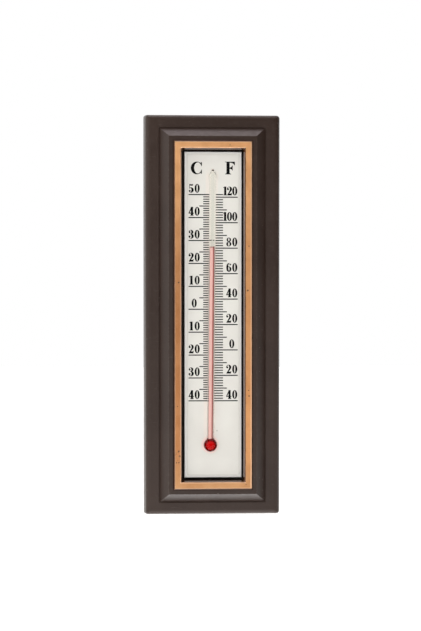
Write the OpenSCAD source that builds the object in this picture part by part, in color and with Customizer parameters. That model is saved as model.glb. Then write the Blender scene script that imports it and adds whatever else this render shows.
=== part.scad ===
// Wall thermometer with a Celsius and a Fahrenheit scale, in millimetres.
// The back of the case lies on the wall plane Y = 0, the front faces -Y and the scale runs along Z.
// A size called a level is a distance from the wall plane towards the front.
// A size called an inset is a distance from the outline of the case at the wall, inwards.

/* [Case] */
// Width of the case at the wall
case_w = 61.2; // [59:0.2:65]
// Length of the case at the wall
case_l = 178.9; // [176:0.1:186]
// Level at which the side walls meet the border
side_level = 6.9; // [6.5:0.1:8]
// How far each side wall leans in on its way up
side_draft = 0.8; // [0.3:0.1:1.2]
// Radius of the four upright corners
corner_r = 1.3; // [0.6:0.1:2]
// Reach of the rounding between a side wall and the border
edge_round = 1.5; // [0.6:0.1:2]
// Width of the border along the sides, from the outline to the groove
border_w = 6.8; // [6:0.1:7.6]
// Width of the border at the upper and lower ends for one of its width along the sides
end_share = 0.9; // [0.85:0.05:1]
// How much the convex border rises on its way in
border_rise = 1.3; // [0.8:0.1:1.6]
// Depth of the groove at the foot of the bevel
groove_d = 0.4; // [0.2:0.05:0.6]
// Width of the groove at the foot of the bevel
groove_w = 0.4; // [0.2:0.05:0.6]
// Width of the bevel that climbs to the flat round the trim
bevel_w = 4.35; // [3.8:0.05:4.8]
// How much the bevel rises above the border
bevel_rise = 4.4; // [4:0.1:5]
// Width of the flat between the bevel and the trim
flat_w = 2.2; // [1.9:0.05:2.8]
// Thickness of the moulded shell
shell_t = 2; // [1.8:0.1:2.2]
// Width of the rim that the case stands on at the wall
rim_w = 1.6; // [1.4:0.1:2]
// Width of the inner ledge that the cover seats on
cover_ledge_w = 1.8; // [1.4:0.1:2.2]

/* [Trim] */
// Width of the trim frame
trim_w = 3.4; // [3:0.1:3.8]
// How far the trim frame stands above the flat
trim_proud = 1.2; // [0.8:0.1:1.5]
// Depth of the seat that the trim frame is let into
trim_seat_d = 1.2; // [0.8:0.1:1.4]
// Thickness of the ledge of the case under the trim frame
trim_ledge_t = 1.9; // [1.6:0.1:2.2]
// Gap between the trim frame and the side of its seat
trim_gap = 0.05; // [0.02:0.01:0.1]
// Chamfer along both edges of the trim frame
trim_chamfer = 0.3; // [0.1:0.05:0.5]
// How far the walls of the window lean in on their whole way down
window_draft = 0.42; // [0.2:0.02:0.6]

/* [Scale plate] */
// Thickness of the scale plate
plate_t = 1.5; // [1.2:0.1:2]
// How far the face of the plate lies below the trim frame
plate_recess = 4.6; // [4.5:0.1:5]
// Gap round the plate, to the walls of the window
plate_gap = 0.75; // [0.5:0.05:1]
// How far right of the middle the plate was fitted
plate_shift_x = 0.25; // [-0.3:0.05:0.3]
// How far above the middle the plate was fitted
plate_shift_z = 0.15; // [-0.3:0.05:0.3]
// Width of the bevel along the edges of the plate
plate_bevel_w = 1.2; // [0.8:0.1:1.5]
// Drop of the bevel along the edges of the plate
plate_bevel_d = 0.25; // [0.1:0.05:0.4]
// Chamfer at the outer edge of the plate
plate_edge = 0.3; // [0.1:0.05:0.4]

/* [Scale] */
// Distance from the upper end of the plate to the hottest line
scale_top_margin = 18.95; // [17:0.05:21]
// Distance from the lower end of the plate to the coldest line
scale_foot_margin = 34.15; // [33:0.05:36]
// Highest temperature of the scale, in degrees Celsius
hot_end = 50; // [40:10:50]
// Lowest temperature of the scale, in degrees Celsius
cold_end = -40; // [-50:10:-30]
// Thickness of a numbered line
line_t = 0.46; // [0.3:0.02:0.6]
// Thickness of the lines between
fine_line_t = 0.44; // [0.3:0.02:0.5]
// How far left of the middle the Celsius lines end, under the tube
celsius_end = 1.2; // [0.9:0.1:1.4]
// How far right of the middle the Fahrenheit lines begin, under the tube
fahrenheit_start = 0.3; // [0.1:0.1:0.6]
// How much farther out the numbered lines reach than the lines at half steps
numbered_extra = 4.8; // [4.6:0.1:5.2]
// How much farther out the lines at half steps reach than the shortest lines
half_step_extra = 1.7; // [1.3:0.1:1.8]
// Distance from the numbered lines to the side of the plate
line_margin = 1.8; // [1.5:0.05:2.2]
// Height of a numeral
numeral_h = 3.9; // [3.5:0.1:4.1]
// Distance between the middles of two figures of a numeral
numeral_pitch = 2.63; // [2.5:0.01:2.8]
// Gap between two figures of a three-figure numeral
tight_gap = 0.08; // [0.04:0.02:0.2]
// Height of a numeral's foot above the middle of its line
numeral_lift = 0.8; // [0.6:0.05:1]
// Distance from the outer ends of the numbered lines to the middle of a Celsius numeral
celsius_inset = 2.5; // [2.3:0.1:2.9]
// Distance from the outer ends of the numbered lines to the middle of a Fahrenheit numeral
fahrenheit_inset = 2.6; // [2.3:0.1:2.9]
// Height of the two headings
letter_h = 5.6; // [5:0.1:6]
// Gap between the highest numeral and the headings
letter_gap = 4.25; // [3:0.05:5]
// Distance from the outer ends of the numbered lines to the middle of a heading
letter_inset = 3.45; // [2.9:0.05:3.9]
// Thickness of the printed ink
ink_t = 0.06; // [0.04:0.01:0.1]

/* [Tube] */
// Diameter of the stem of the tube
stem_d = 3; // [2.8:0.1:3.2]
// Diameter of the bulb
bulb_d = 6; // [5.6:0.1:6]
// Thickness of the glass round the bulb
bulb_wall = 0.55; // [0.4:0.05:0.7]
// Diameter of the capillary
capillary_d = 1; // [0.8:0.05:1.1]
// Gap between the printed lines and the underside of the stem
tube_gap = 0.04; // [0.02:0.02:0.2]
// Lean of the tube to the right, in degrees
tube_lean = 0.5; // [0:0.1:1]
// How far right of the middle of the plate the bulb lies
bulb_x = -1.25; // [-2:0.05:0]
// Distance from the lower end of the plate to the middle of the bulb
bulb_margin = 14.7; // [12:0.1:16]
// Distance from the upper end of the plate to the end of the tube
tip_margin = 7.8; // [6:0.1:10]
// Length of the pointed tip
tip_l = 3.2; // [2.6:0.1:4]
// Radius of the fillet between bulb and stem
neck_r = 1; // [0.6:0.1:1.4]
// Temperature at which the part is drawn, in degrees Celsius
rest_temperature = 27.3; // [10:0.1:40]
// Length of the top end of the spirit column that travels as one piece
meniscus_l = 1.2; // [1:0.1:2]
// Gap between the spirit and the glass
spirit_gap = 0.02; // [0.01:0.01:0.03]
// Temperature of the setting mark on the glass, in degrees Celsius
mark_temperature = 30; // [20:1:40]
// Height of the setting mark
mark_h = 0.36; // [0.2:0.02:0.5]
// Thickness of the ink of the setting mark
mark_t = 0.05; // [0.03:0.01:0.08]
// Width of the dash of the setting mark
mark_dash_w = 1.2; // [1:0.1:1.3]
// Width of the dot of the setting mark
mark_dot_w = 0.7; // [0.4:0.1:1]
// Gap between the dash and the dot of the setting mark
mark_gap = 0.4; // [0.2:0.05:0.6]
// Width of the cement at the tip of the tube
tip_cement_w = 3.9; // [3.4:0.1:4.4]
// Thickness of the cement at the tip of the tube
tip_cement_t = 0.7; // [0.5:0.1:1]
// Width of the cement at its upper end
tip_cement_top_w = 0.6; // [0.4:0.1:1]
// Length of the cement below the shoulder of the tip
tip_cement_foot = 0.9; // [0.6:0.1:1.2]
// Gap between the bulb and its hole in the plate
bulb_gap = 0.15; // [0.1:0.05:0.2]
// Thickness of the cement behind the bulb
bulb_cement_t = 0.7; // [0.5:0.1:0.8]
// Width of the flange of cement behind the plate, round the hole
bulb_cement_flange = 1.5; // [1:0.1:2]

/* [Back cover] */
// Thickness of the back cover
cover_t = 2.2; // [2:0.1:2.5]
// Gap between the cover and the rim of the case
cover_gap = 0.1; // [0.05:0.05:0.2]
// Corner radius of the cover
cover_corner_r = 0.8; // [0.4:0.1:1.2]
// Width of the two rests that carry the plate
rest_w = 16; // [12:1:20]
// Length of the two rests that carry the plate
rest_l = 24; // [16:1:30]
// Thickness of the walls of the rests
rest_wall = 1.6; // [1.2:0.1:2]
// Distance from each end of the plate to the middle of its rest
rest_margin = 32.2; // [30:0.1:38]
// Thickness of the foam pads between the rests and the plate
pad_t = 1; // [0.8:0.1:1.2]
// Radius of the round entry of the keyhole
keyhole_r = 4; // [3.6:0.1:4.5]
// Radius of the narrow end of the keyhole
keyhole_slot_r = 2; // [1.8:0.1:2.2]
// Length from the entry of the keyhole to its narrow end
keyhole_drop = 7; // [6:0.5:8]
// Distance from the upper end of the case to the entry of the keyhole
keyhole_down = 29.45; // [28:0.05:31]

/* [Screws] */
// Distance of the screws from the outline of the case
screw_inset = 9; // [8.6:0.1:9.4]
// Radius of the shank of a screw
screw_r = 1; // [0.9:0.05:1.1]
// Length of the shank of a screw
screw_l = 5; // [4.6:0.1:5.2]
// Radius of the head of a screw
head_r = 1.9; // [1.8:0.05:2.1]
// Height of the head of a screw
head_h = 0.9; // [0.7:0.05:1]
// Gap between a screw's head or shank and its hole in the cover
screw_gap = 0.2; // [0.1:0.05:0.3]
// Gap between a screw's shank and the case
thread_gap = 0.02; // [0.01:0.01:0.03]
// Depth of the head below the back of the cover
head_sunk = 0.15; // [0.1:0.05:0.3]
// Width of the cross recess in a head
cross_w = 0.5; // [0.4:0.05:0.6]
// Depth of the cross recess in a head
cross_d = 0.5; // [0.3:0.05:0.6]
// Thickness of the wall round a screw in the case
boss_wall = 1.5; // [1.2:0.1:1.6]
// Depth left under the point of a screw
screw_spare = 0.4; // [0.2:0.1:0.6]

/* [Hidden] */

// Levels of the front of the case
border_level = side_level + border_rise;
flat_level = border_level + bevel_rise;
trim_level = flat_level + trim_proud;
seat_level = flat_level - trim_seat_d;
ledge_level = seat_level - trim_ledge_t;

// Insets of the front of the case; at the ends all beyond the border lies closer to the outline
border_end_w = border_w * end_share;
end_less = border_w - border_end_w;
inner_l = case_l + 2 * end_less;
bevel_top_inset = border_w + bevel_w;
seat_inset = bevel_top_inset + flat_w;
window_inset = seat_inset + trim_w;
window_foot_inset = window_inset + window_draft;
window_lean = window_draft / (trim_level - ledge_level);
window_seat_inset = window_inset + window_lean * (trim_level - seat_level);

// Bevel of the case, and the same line moved in by the shell's thickness
bevel_foot = [border_w + groove_w, border_level - groove_d];
bevel_head = [bevel_top_inset, flat_level];
bevel_run = (bevel_head - bevel_foot) / norm(bevel_head - bevel_foot);
bevel_in = shell_t * [bevel_run[1], -bevel_run[0]];
inner_foot = bevel_foot + bevel_in;
inner_head_x = inner_foot[0] + (ledge_level - inner_foot[1]) * bevel_run[0] / bevel_run[1];
cavity_inset = rim_w + cover_ledge_w;
cavity_level = side_level - shell_t;
cavity_climb = (inner_foot[1] - cavity_level) / (inner_foot[0] - cavity_inset);
cavity_turn = [border_w, cavity_level + cavity_climb * (border_w - cavity_inset)];

// Plate and scale
plate_level = trim_level - plate_recess;
plate_back = plate_level - plate_t;
plate_w = case_w - 2 * window_foot_inset - 2 * plate_gap;
plate_l = inner_l - 2 * window_foot_inset - 2 * plate_gap;
fahrenheit_per_celsius = 1.8;
fahrenheit_at_zero = 32;
fahrenheit_step = 2;
celsius_numbered = 10;
fahrenheit_numbered = 20;
hot_fahrenheit = fahrenheit_at_zero + hot_end * fahrenheit_per_celsius;
cold_fahrenheit = fahrenheit_at_zero + cold_end * fahrenheit_per_celsius;
cold_numeral = ceil(cold_fahrenheit / fahrenheit_numbered) * fahrenheit_numbered;
degree = (plate_l - scale_top_margin - scale_foot_margin) / (hot_end - cold_end);
zero_up = scale_foot_margin - plate_l / 2 - cold_end * degree;
long_reach = plate_w / 2 - line_margin;
mid_reach = long_reach - numbered_extra;
short_reach = mid_reach - half_step_extra;
letter_up = celsius_up(hot_end) + numeral_lift + numeral_h + letter_gap;
figure_size = drawing_scale(numeral_h);
letter_size = drawing_scale(letter_h);

// Tube, drawn along its own axis with the middle of the bulb at the origin
stem_r = stem_d / 2;
bulb_r = bulb_d / 2;
bore_r = capillary_d / 2;
cavity_r = bulb_r - bulb_wall;
tube_up = ink_t + tube_gap + stem_r;
tube_level = plate_level + tube_up;
neck_top = sqrt(pow(bulb_r + neck_r, 2) - pow(stem_r + neck_r, 2));
neck_angle = atan2(neck_top, stem_r + neck_r);
bulb_up = bulb_margin - plate_l / 2;
stem_l = (plate_l / 2 - tip_margin - bulb_up) / cos(tube_lean) - tip_l;
funnel_top = neck_top + neck_r / 3;
funnel_angle = 65;
tube_end = stem_l + tip_l;
bore_end = stem_l + tip_l / 4;
bulb_z = plate_shift_z + bulb_up;
level_along = (celsius_up(rest_temperature) - bulb_up) / cos(tube_lean);
mark_along = (celsius_up(mark_temperature) - bulb_up) / cos(tube_lean);
bulb_hole_r = sqrt(pow(bulb_r, 2) - pow(tube_up, 2)) + bulb_gap;

// Cover and what it carries
rest_level = plate_back - pad_t;
rest_out = plate_l / 2 - rest_margin;
keyhole_z = case_l / 2 - keyhole_down;
shank_top = head_sunk + head_h + screw_l;
boss_top = shank_top + screw_spare + shell_t / 2;
cross_l = 2 * head_r - 3 * cross_w;
screw_sides = [[-1, 1], [1, 1], [-1, -1], [1, -1]];

// Fineness of round shapes
round_fn = 64;
hull_fn = 32;
curve_steps = 8;
bowl_steps = 24;
over = 1;

// Points of a curve from a to c that b pulls towards itself
function bend(a, b, c, steps = curve_steps) = [
    for (i = [0:steps]) let (t = i / steps) pow(1 - t, 2) * a + 2 * t * (1 - t) * b + pow(t, 2) * c
];

// Points of an arc about a middle, without its first point
function arc(middle, r, from, to, steps) = [
    for (i = [1:steps]) let (a = from + (to - from) * i / steps) middle + r * [cos(a), sin(a)]
];

// Points of an oval round a middle, with a half width and a half height
function oval(middle, half) = [
    for (i = [0:bowl_steps - 1])
        let (a = 360 * i / bowl_steps)
        middle + [half[0] * cos(a), half[1] * sin(a)]
];

// Stands a shape drawn on XY up on the wall: its Y becomes Z and its Z becomes the level
module on_wall() {
    rotate([90, 0, 0]) children();
}

// The same, with the middle of the plate as the middle of the drawing and its face as the ground
module on_plate() {
    on_wall() translate([plate_shift_x, plate_shift_z, plate_level]) children();
}

// Places what is drawn along the tube's own axis
module along_tube() {
    translate([plate_shift_x + bulb_x, -tube_level, bulb_z]) rotate([0, tube_lean, 0]) children();
}

// A box about the middle of the drawing
module slab(w, l, low, high) {
    translate([-w / 2, -l / 2, low]) cube([w, l, high - low]);
}

// The same with upright round corners
module round_slab(w, l, r, low, high) {
    slab(w - 2 * r, l, low, high);
    slab(w, l - 2 * r, low, high);
    for (sx = [-1, 1], sy = [-1, 1])
        translate([sx * (w / 2 - r), sy * (l / 2 - r), low])
            cylinder(h = high - low, r = r, $fn = hull_fn);
}

// One side of a rectangular frame, cut to a mitre at both ends; its child is its profile
module mitred_side(w, l, depth, high, kink) {
    side = w / 2;
    foot = -l / 2;
    rest = depth - max(kink);
    inner = kink + [rest, rest];
    intersection() {
        translate([-side, foot, 0]) rotate([90, 0, 90]) linear_extrude(w) children();
        translate([0, 0, -over]) linear_extrude(high + 2 * over)
            polygon([
                [-side, foot], [side, foot], [side - kink[0], foot + kink[1]],
                [side - inner[0], foot + inner[1]], [inner[0] - side, foot + inner[1]],
                [kink[0] - side, foot + kink[1]]
            ]);
    }
}

// A rectangular frame with its first child as the profile of its ends and its last as that of its sides
// Its mitres run straight from each corner to the kink, given as insets from a side and an end, then at 45 degrees
module mitred_frame(w, l, depth, high, kink = [1, 1]) {
    for (turn = [0, 180]) {
        rotate([0, 0, turn]) mitred_side(w, l, depth, high, kink) children(0);
        rotate([0, 0, turn + 90]) mitred_side(l, w, depth, high, [kink[1], kink[0]]) children($children - 1);
    }
}

// Outline of the leaning outside of the case at one level
module lean_slab(level) {
    lean = side_draft * level / side_level;
    slab_t = 0.01;
    round_slab(case_w - 2 * lean, case_l - 2 * lean * end_share, corner_r, level, level + slab_t);
}

// Inset at an end for an inset at a side: less in proportion over the border, and by the same amount beyond it
function end_inset(inset) = inset < border_w ? inset * end_share : inset - end_less;

// Section of the case through one side, or through one end
module case_section(at_end) {
    wall_foot = [0, 0];
    wall_top = [side_draft, side_level];
    round_start = wall_top * (1 - edge_round / side_level);
    border_end = [border_w, border_level];
    border_pull = [(side_draft + border_w) / 2, border_level];
    border = bend(wall_top, border_pull, border_end);
    round_end = border[2];
    outline = concat(
        [wall_foot],
        bend(round_start, wall_top, round_end),
        [for (i = [3:curve_steps]) border[i]],
        [bevel_foot - [groove_w / 2, 0], bevel_foot, bevel_head],
        [[seat_inset, flat_level], [seat_inset, seat_level], [window_seat_inset, seat_level]],
        [[window_foot_inset, ledge_level], [inner_head_x, ledge_level], inner_foot, cavity_turn],
        [[cavity_inset, cavity_level], [cavity_inset, cover_t], [rim_w, cover_t], [rim_w, 0]]
    );
    polygon([for (p = outline) at_end ? [end_inset(p[0]), p[1]] : p]);
}

// Puts its child at each screw, or at one of them
module at_screws(which = [0:3]) {
    out = [case_w / 2 - screw_inset, case_l / 2 - screw_inset];
    for (i = which)
        translate([screw_sides[i][0] * out[0], screw_sides[i][1] * out[1], 0]) children();
}

// Moulded case with its border, groove, bevel and window, and bosses for the screws inside
module front_case() {
    color([0.25, 0.2, 0.18]) on_wall() difference() {
        union() {
            intersection() {
                mitred_frame(case_w, case_l, window_foot_inset + over, flat_level, [border_w, border_end_w]) {
                    case_section(true);
                    case_section(false);
                }
                hull() {
                    lean_slab(0);
                    lean_slab(flat_level);
                }
            }
            at_screws() translate([0, 0, cover_t])
                cylinder(h = boss_top - cover_t, r = screw_r + boss_wall, $fn = round_fn);
        }
        at_screws() cylinder(h = shank_top + screw_spare, r = screw_r + thread_gap, $fn = round_fn);
    }
}

// Section of the trim frame through one side
module trim_section() {
    low_in = window_seat_inset;
    high_in = window_inset;
    out = seat_inset + trim_gap;
    polygon([
        [out, seat_level], [out, trim_level - trim_chamfer], [out + trim_chamfer, trim_level],
        [high_in - trim_chamfer, trim_level], [high_in, trim_level - trim_chamfer], [low_in, seat_level]
    ]);
}

// Foiled frame let into the flat round the window
module trim_frame() {
    color([0.85, 0.62, 0.4]) on_wall()
        mitred_frame(case_w, inner_l, window_seat_inset + over, trim_level) trim_section();
}

// Hollow rest that carries one end of the plate
module plate_rest() {
    difference() {
        slab(rest_w, rest_l, cover_t, rest_level);
        slab(rest_w - 2 * rest_wall, rest_l - 2 * rest_wall, cover_t, rest_level + over);
    }
}

// Keyhole: round entry below, narrow end above
module keyhole() {
    translate([0, keyhole_z, -over]) {
        cylinder(h = cover_t + 2 * over, r = keyhole_r, $fn = round_fn);
        translate([0, keyhole_drop, 0]) cylinder(h = cover_t + 2 * over, r = keyhole_slot_r, $fn = round_fn);
        translate([-keyhole_slot_r, 0, 0]) cube([2 * keyhole_slot_r, keyhole_drop, cover_t + 2 * over]);
    }
}

// Cover that closes the case from behind and carries the plate
module back_cover() {
    cover_w = case_w - 2 * (rim_w + cover_gap);
    cover_l = case_l - 2 * (end_inset(rim_w) + cover_gap);
    color([0.16, 0.14, 0.13]) on_wall() {
        difference() {
            round_slab(cover_w, cover_l, cover_corner_r, 0, cover_t);
            keyhole();
            at_screws() translate([0, 0, -over])
                cylinder(h = cover_t + 2 * over, r = screw_r + screw_gap, $fn = round_fn);
            at_screws() translate([0, 0, -over])
                cylinder(h = head_sunk + head_h + over, r = head_r + screw_gap, $fn = round_fn);
        }
        for (side = [-1, 1])
            translate([plate_shift_x, side * rest_out, 0]) plate_rest();
    }
}

// Screw through the cover into the case, with a cross recess
module cover_screw(i) {
    color([0.62, 0.62, 0.6]) on_wall() at_screws([i]) difference() {
        union() {
            translate([0, 0, head_sunk]) cylinder(h = head_h, r = head_r, $fn = round_fn);
            translate([0, 0, head_sunk + head_h]) cylinder(h = screw_l, r = screw_r, $fn = round_fn);
        }
        for (turn = [0, 90])
            rotate([0, 0, turn]) slab(cross_l, cross_w, head_sunk - over, head_sunk + cross_d);
    }
}

// Foam pad between a rest and the plate
module plate_pad(side) {
    color([0.2, 0.2, 0.21]) on_wall()
        translate([plate_shift_x, side * rest_out, 0]) slab(rest_w, rest_l, rest_level, plate_back);
}

// Section of the plate's edge, with its back at zero
module plate_section() {
    foot = plate_t - plate_bevel_d;
    polygon([
        [0, 0], [2 * plate_bevel_w, 0], [2 * plate_bevel_w, plate_t], [plate_bevel_w, plate_t],
        [plate_edge, foot], [0, foot - plate_edge]
    ]);
}

// White plate with bevelled edges and a hole for the bulb
module scale_plate() {
    color([0.93, 0.93, 0.9]) on_plate() difference() {
        union() {
            translate([0, 0, -plate_t])
                mitred_frame(plate_w, plate_l, 2 * plate_bevel_w, plate_t) plate_section();
            slab(plate_w - 2 * plate_bevel_w, plate_l - 2 * plate_bevel_w, -plate_t, 0);
        }
        translate([bulb_x, bulb_up, -plate_t - over])
            cylinder(h = plate_t + 2 * over, r = bulb_hole_r, $fn = round_fn);
    }
}

// One printed line between two distances from the middle of the plate
module scale_line(from, to, up, thick) {
    translate([from, up - thick / 2, 0]) cube([to - from, thick, ink_t]);
}

// Reach of a line: long at numbered values, middling at half steps, short between
function reach(value, numbered) =
    value % numbered == 0 ? long_reach : value % (numbered / 2) == 0 ? mid_reach : short_reach;

// Thickness of a line: more at numbered values
function thick(value, numbered) = value % numbered == 0 ? line_t : fine_line_t;

// Height of a Celsius value on the plate
function celsius_up(c) = zero_up + c * degree;

// Lines of the Celsius scale, one for each degree
module celsius_graduations() {
    color([0.07, 0.07, 0.07]) on_plate() for (c = [cold_end:hot_end])
        scale_line(-reach(c, celsius_numbered), -celsius_end, celsius_up(c), thick(c, celsius_numbered));
}

// Height of a Fahrenheit value on the plate
function fahrenheit_up(f) = celsius_up((f - fahrenheit_at_zero) / fahrenheit_per_celsius);

// Lines of the Fahrenheit scale, one for every second degree
module fahrenheit_graduations() {
    numbered = fahrenheit_numbered;
    color([0.07, 0.07, 0.07]) on_plate() for (f = [cold_fahrenheit:fahrenheit_step:hot_fahrenheit])
        scale_line(fahrenheit_start, reach(f, numbered), fahrenheit_up(f), thick(f, numbered));
}

// Scale at which a drawing 100 units high gets a real height
function drawing_scale(height) = height / 100;

// Widths of the figures, each drawn 100 units high from its left edge
figure_widths = [58, 42, 57, 58, 60, 56, 58, 0, 58];

// An oval with an oval hole
module ring_2d(middle, half, hole_middle, hole_half) {
    difference() {
        polygon(oval(middle, half));
        polygon(oval(hole_middle, hole_half));
    }
}

// A foot with small brackets under an upright stroke
module foot_2d(left, stem_left, stem_right, right) {
    foot_t = 5;
    bracket = 7;
    polygon([
        [left, 0], [right, 0], [right, foot_t], [stem_right, foot_t + bracket],
        [stem_left, foot_t + bracket], [left, foot_t]
    ]);
}

module figure_0() {
    ring_2d([29, 50], [29, 50], [29, 50], [7, 43.5]);
}

module figure_1() {
    translate([11, 0]) square([25, 100]);
    polygon([[0, 83], [0, 89], [18, 100], [36, 100], [36, 90], [11, 86]]);
    foot_2d(3, 11, 36, 42);
}

module figure_2() {
    difference() {
        ring_2d([28, 71], [29, 29], [21, 71], [11.5, 24]);
        translate([-5, 40]) square([42, 29]);
    }
    translate([11, 70]) circle(r = 11, $fn = bowl_steps);
    polygon(concat(bend([57, 71], [57, 56], [22, 18]), bend([2, 8], [33, 52], [33, 70])));
    polygon([[2, 0], [52, 0], [57, 30], [52, 30], [47, 21], [14, 21], [2, 8]]);
}

module figure_3() {
    difference() {
        union() {
            ring_2d([27, 75], [26, 25], [20, 75], [10.5, 20]);
            ring_2d([28, 28], [30, 28], [20, 28], [12.5, 23]);
        }
        translate([-5, 32]) square([23, 36]);
    }
    translate([17, 50]) square([16, 6]);
    translate([11, 74]) circle(r = 10, $fn = bowl_steps);
    translate([11, 25]) circle(r = 10.5, $fn = bowl_steps);
}

module figure_4() {
    translate([26, 0]) square([25, 100]);
    polygon([[31, 100], [42, 100], [13, 34], [60, 34], [60, 24], [0, 24], [0, 32]]);
    foot_2d(20, 26, 51, 57);
}

module figure_5() {
    polygon(concat(
        [[7, 46], [13, 46]],
        bend([13, 82], [28, 77], [44, 80]),
        [[47, 84]],
        bend([49, 100], [35, 92], [12, 98]),
        [[7, 100]]
    ));
    difference() {
        ring_2d([27, 31], [29, 31], [19, 31], [11.5, 25]);
        translate([-5, 24]) square([19, 22]);
        translate([-5, 24]) square([12, 40]);
    }
    translate([11, 21]) circle(r = 10.5, $fn = bowl_steps);
}

module figure_6() {
    intersection() {
        ring_2d([29, 50], [29, 50], [37, 51], [15, 45]);
        union() {
            square([30, 100]);
            translate([29, 80]) square([20, 20]);
        }
    }
    ring_2d([30, 31], [28, 31], [29, 31], [7.5, 25]);
    translate([45, 82]) circle(r = 9.5, $fn = bowl_steps);
}

module figure_8() {
    ring_2d([29, 75], [25, 25], [29, 76], [7.5, 18.5]);
    ring_2d([29, 27], [29, 27], [29, 26], [9, 20.5]);
}

module figure_2d(digit) {
    if (digit == 0) figure_0();
    if (digit == 1) figure_1();
    if (digit == 2) figure_2();
    if (digit == 3) figure_3();
    if (digit == 4) figure_4();
    if (digit == 5) figure_5();
    if (digit == 6) figure_6();
    if (digit == 8) figure_8();
}

// Figures of a whole number, from its highest place down
function figures(number) =
    number < 10 ? [number] : concat(figures(floor(number / 10)), [number % 10]);

// Distance from the middle of a numeral's figure to the middle of its last figure
function to_last(list, i) =
    i == len(list) - 1 ? 0
    : len(list) < 3 ? numeral_pitch
    : (figure_widths[list[i]] + figure_widths[list[i + 1]]) / 2 * figure_size + tight_gap + to_last(list, i + 1);

// A numeral with its foot on the line of its value
module numeral(number, middle, up) {
    list = figures(abs(number));
    count = len(list);
    last = middle + (count > 1 ? numeral_pitch / 2 : 0);
    for (i = [0:count - 1])
        translate([last - to_last(list, i) - figure_widths[list[i]] * figure_size / 2, up, 0])
            linear_extrude(ink_t) scale(figure_size) figure_2d(list[i]);
}

// Numerals of the Celsius scale
module celsius_numerals() {
    color([0.05, 0.05, 0.05]) on_plate() for (c = [cold_end:celsius_numbered:hot_end])
        numeral(c, celsius_inset - long_reach, celsius_up(c) + numeral_lift);
}

// Numerals of the Fahrenheit scale
module fahrenheit_numerals() {
    color([0.05, 0.05, 0.05]) on_plate() for (f = [cold_numeral:fahrenheit_numbered:hot_fahrenheit])
        numeral(f, long_reach - fahrenheit_inset, fahrenheit_up(f) + numeral_lift);
}

// Letter C with an upper and a lower beak
module letter_c() {
    difference() {
        ring_2d([48, 50], [48, 50], [57, 50], [30, 44]);
        translate([74, -5]) square([30, 110]);
    }
    polygon(concat(bend([66, 89], [80, 81], [84, 64]), [[88, 64], [88, 97], [85, 97], [79, 91], [66, 94]]));
    polygon(concat([[66, 6], [79, 9], [85, 3], [88, 3], [88, 37]], bend([84, 37], [80, 19], [66, 11])));
}

// Letter F with bracketed arms and foot
module letter_f() {
    translate([13, 0]) square([25, 98]);
    polygon(concat(
        [[0, 96]],
        bend([35, 93], [68, 91], [76, 72]),
        bend([80, 72], [79, 84], [80, 100]),
        [[0, 100]]
    ));
    polygon(concat(
        bend([34, 46], [50, 45], [60, 31]),
        bend([63, 31], [60, 50], [63, 70]),
        bend([60, 70], [50, 53], [34, 53])
    ));
    polygon(concat(
        [[2, 0], [50, 0], [50, 4]],
        bend([49, 4], [40, 6], [38, 14]),
        bend([13, 14], [11, 6], [3, 4]),
        [[2, 4]]
    ));
}

// Prints its child, drawn like the figures, as a heading about a middle
module heading(middle, half_w) {
    color([0.05, 0.05, 0.05]) on_plate() translate([middle - half_w * letter_size, letter_up, 0])
        linear_extrude(ink_t) scale(letter_size) children();
}

// Heading of the Celsius scale
module celsius_letter() {
    heading(letter_inset - long_reach, 44) letter_c();
}

// Heading of the Fahrenheit scale
module fahrenheit_letter() {
    heading(long_reach - letter_inset, 40) letter_f();
}

// Tube without its hollow: bulb, neck with a fillet, stem and pointed tip
module tube_outside() {
    rotate_extrude($fn = round_fn) polygon(concat(
        [[0, -bulb_r]],
        arc([0, 0], bulb_r, -90, neck_angle, bowl_steps),
        arc([stem_r + neck_r, neck_top], neck_r, neck_angle + 180, 180, curve_steps),
        bend([stem_r, stem_l], [stem_r, stem_l + tip_l / 2], [0, tube_end])
    ));
}

// Half section of the hollow of the bulb and its funnel up to the capillary, smaller by a gap
function bulb_inside(gap) = concat(
    [[0, gap - cavity_r]],
    arc([0, 0], cavity_r - gap, -90, funnel_angle, bowl_steps),
    [[bore_r - gap, funnel_top]]
);

// Tube with its bulb, hollow for the spirit
module glass_tube() {
    color([0.85, 0.9, 0.9, 0.4]) along_tube() difference() {
        tube_outside();
        rotate_extrude($fn = round_fn) polygon(concat(bulb_inside(0), [[bore_r, bore_end], [0, bore_end]]));
    }
}

// Spirit that fills the bulb
module spirit_reservoir() {
    color([0.78, 0.04, 0.06]) along_tube()
        rotate_extrude($fn = round_fn) polygon(concat(bulb_inside(spirit_gap), [[0, funnel_top]]));
}

// Spirit in the capillary, up to its moving top end
module spirit_column() {
    color([0.78, 0.04, 0.06]) along_tube() translate([0, 0, funnel_top])
        cylinder(h = level_along - meniscus_l - funnel_top, r = bore_r - spirit_gap, $fn = round_fn);
}

// Moving top end of the spirit, dished at its surface
module spirit_meniscus() {
    dish_r = bore_r - 2 * spirit_gap;
    color([0.78, 0.04, 0.06]) along_tube() translate([0, 0, level_along - meniscus_l]) difference() {
        cylinder(h = meniscus_l, r = bore_r - spirit_gap, $fn = round_fn);
        translate([0, 0, meniscus_l + dish_r / 2]) sphere(r = dish_r, $fn = round_fn);
    }
}

// Setting mark printed across the front of the stem: a dash on the left and a dot on the right
module calibration_mark() {
    high = mark_h + 2 * over;
    deep = stem_r + over;
    color([0.1, 0.1, 0.1]) along_tube() translate([0, 0, mark_along - mark_h / 2]) intersection() {
        difference() {
            cylinder(h = mark_h, r = stem_r + mark_t, $fn = round_fn);
            translate([0, 0, -over]) cylinder(h = high, r = stem_r, $fn = round_fn);
        }
        union() {
            translate([-mark_gap / 2 - mark_dash_w, -deep, -over]) cube([mark_dash_w, deep, high]);
            translate([mark_gap / 2, -deep, -over]) cube([mark_dot_w, deep, high]);
        }
    }
}

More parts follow.
